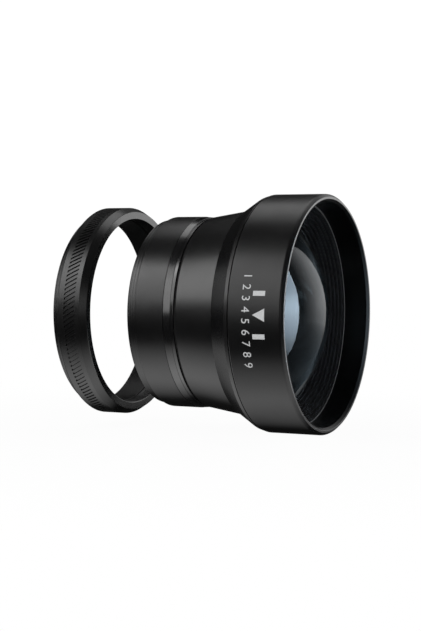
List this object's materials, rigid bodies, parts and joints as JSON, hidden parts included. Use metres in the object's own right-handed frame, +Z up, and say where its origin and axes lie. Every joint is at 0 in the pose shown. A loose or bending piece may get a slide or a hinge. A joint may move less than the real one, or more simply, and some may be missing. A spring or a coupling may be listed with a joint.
{
  "type": "telephoto lens",
  "caption": "Flared telephoto conversion lens with a domed front glass in a deep hood, a threaded rear nose and a separate knurled adapter ring behind it.",
  "frame": {"origin": "where the optical axis meets the seat face, the shoulder at the root of the rear thread", "axes": "+X along the optical axis towards the scene, +Z up, +Y to the left seen from behind"},
  "size_m": [0.0711, 0.0658, 0.0658],
  "materials": {
    "hood_finish": "satin black anodised",
    "barrel_finish": "satin black anodised",
    "band_finish": "glossy black anodised",
    "collar_finish": "semi-gloss black anodised",
    "adapter_finish": "satin black anodised",
    "matt_black": "matt black anodised",
    "seal_rubber": "matt rubber",
    "coated_glass": "polished, coated",
    "clear_glass": "polished, coated",
    "screw_steel": "black oxide",
    "shim_brass": "rolled",
    "washer_plastic": "low-friction plastic"
  },
  "bodies": {
    "lens": {"hood_shell": "hood_finish", "hood_seal_ring": "seal_rubber", "baffle_ring": "matt_black", "glass_gasket": "seal_rubber", "front_crown_lens": "coated_glass", "front_flint_lens": "clear_glass", "main_casing": "barrel_finish", "light_trap_liner": "matt_black", "stop_plate": "matt_black", "rear_barrel": "barrel_finish", "trim_band": "band_finish", "joint_seal": "seal_rubber", "mount_ring": "barrel_finish", "mount_screws": "screw_steel", "centring_screws": "screw_steel", "rear_cell": "matt_black", "cell_shim": "shim_brass", "cell_lock_ring": "matt_black", "rear_concave_lens": "clear_glass", "rear_spacer_ring": "matt_black", "rear_meniscus_lens": "coated_glass", "rear_retaining_ring": "matt_black"},
    "adapter": {"adapter_sleeve": "adapter_finish", "slip_washer": "washer_plastic"},
    "collar": {"knurled_collar": "collar_finish", "collar_back_ring": "adapter_finish"}
  },
  "joints": [
    {"name": "ring_slide", "type": "slide", "parent": "lens", "child": "adapter", "axis": [1, 0, 0], "range_m": [0, 0.01385]},
    {"name": "collar_turn", "type": "hinge", "parent": "adapter", "child": "collar", "pos_m": [-0.018, 0, 0], "axis": [1, 0, 0], "continuous": true}
  ]
}
